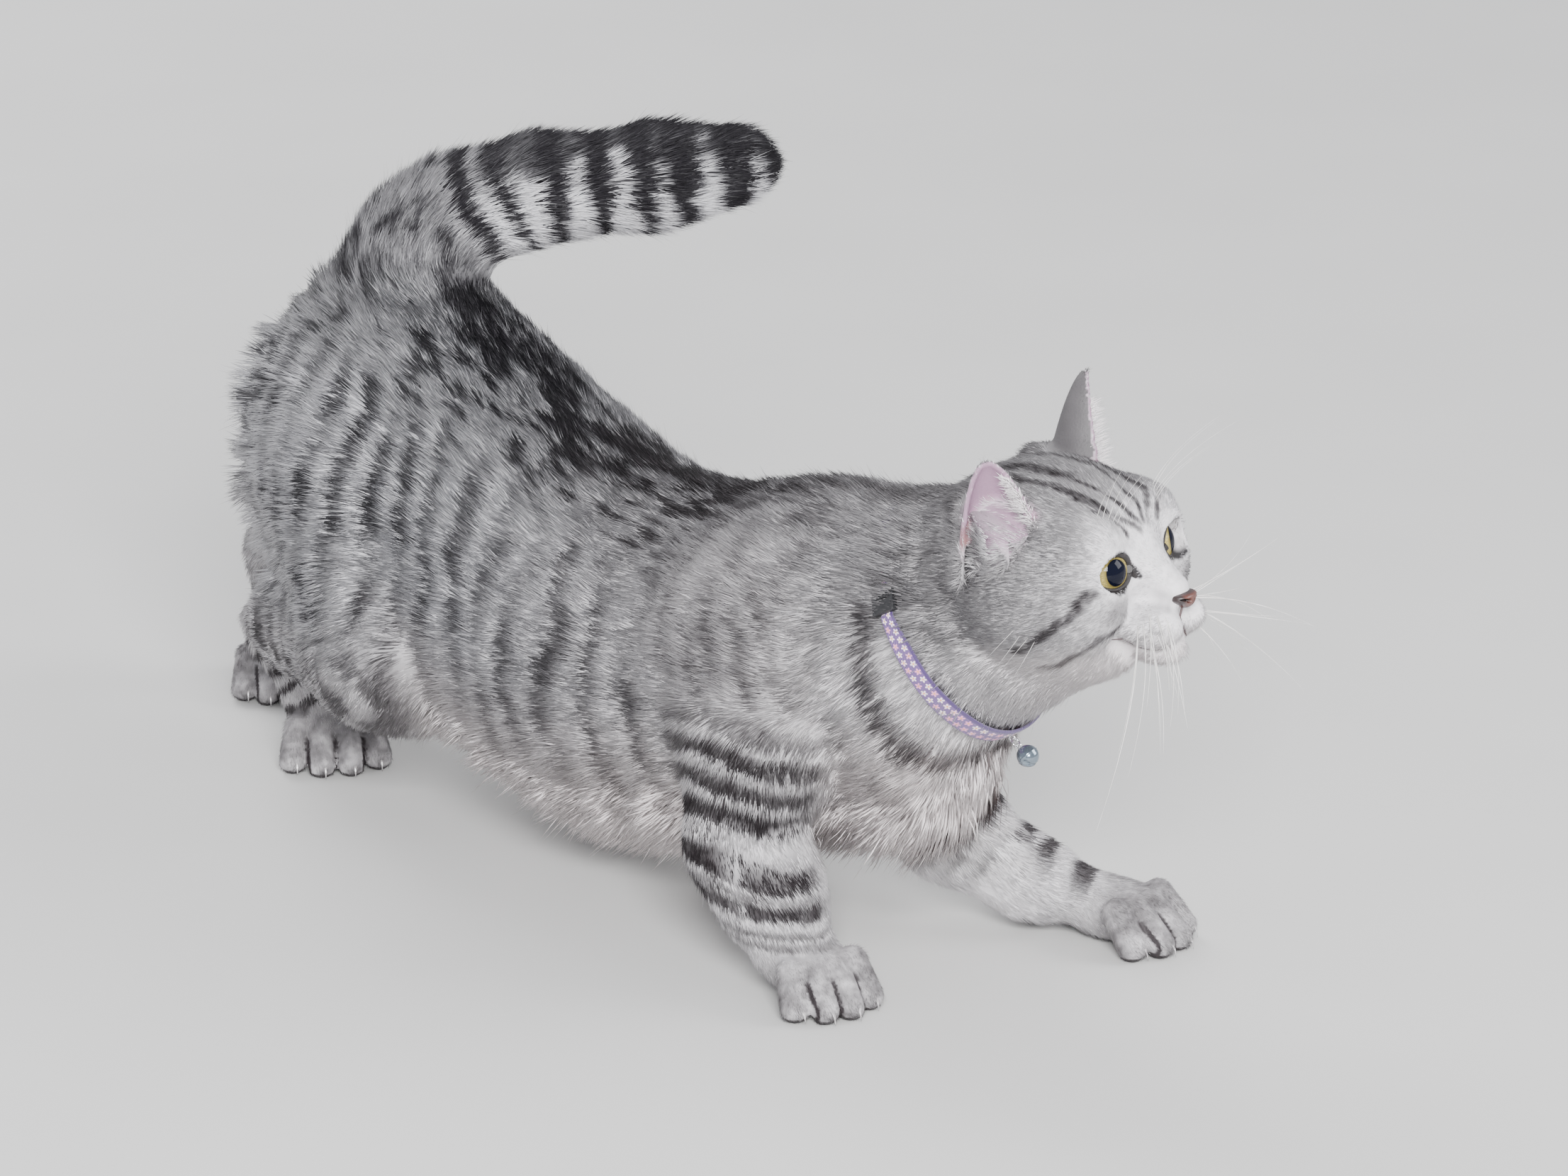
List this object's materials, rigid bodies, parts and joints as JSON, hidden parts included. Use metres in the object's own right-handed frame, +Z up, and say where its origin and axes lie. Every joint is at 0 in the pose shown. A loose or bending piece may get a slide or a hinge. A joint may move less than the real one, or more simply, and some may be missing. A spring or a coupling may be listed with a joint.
{
  "type": "cat",
  "caption": "Stout short-haired silver tabby cat in a play bow, hips and tail high and chest low, wearing a flowered collar with a clip and a bell.",
  "frame": {"origin": "on the floor, under the middle of the cat's bounding box", "axes": "+Z up, -Y the way the body faces, +X the cat's left side"},
  "size_m": [0.2318, 0.6224, 0.3311],
  "materials": {
    "coat_body": "short plush silver fur with charcoal tabby stripes",
    "coat_head": "short silver fur with dark forehead and cheek stripes",
    "coat_tail": "silver fur with dark rings",
    "coat_legs": "short pale fur with dark bars",
    "ear": "thin pink gristle with short fur",
    "eye": "wet, olive gold round a dark pupil",
    "nose": "moist brick brown with a dark edge",
    "collar": "lilac cotton with small pale flowers",
    "clip": "black moulded plastic",
    "bell": "blue-grey pearl lacquer",
    "ring": "bright wire"
  },
  "bodies": {
    "root": {"front_paw_right": "coat_legs", "front_paw_left": "coat_legs", "hind_foot_right": "coat_legs", "hind_foot_left": "coat_legs", "front_leg_right": "coat_legs", "front_leg_left": "coat_legs", "hind_leg_right": "coat_legs", "hind_leg_left": "coat_legs", "tail_tip": "coat_tail", "tail_middle": "coat_tail", "tail_base": "coat_tail", "ear_right": "ear", "ear_left": "ear", "head": "coat_head", "neck": "coat_body", "chest": "coat_body", "belly": "coat_body", "rump": "coat_body", "eye_left": "eye", "eye_right": "eye", "nose": "nose", "collar": "collar", "collar_clip": "clip", "bell": "bell", "bell_ring": "ring"}
  },
  "joints": []
}
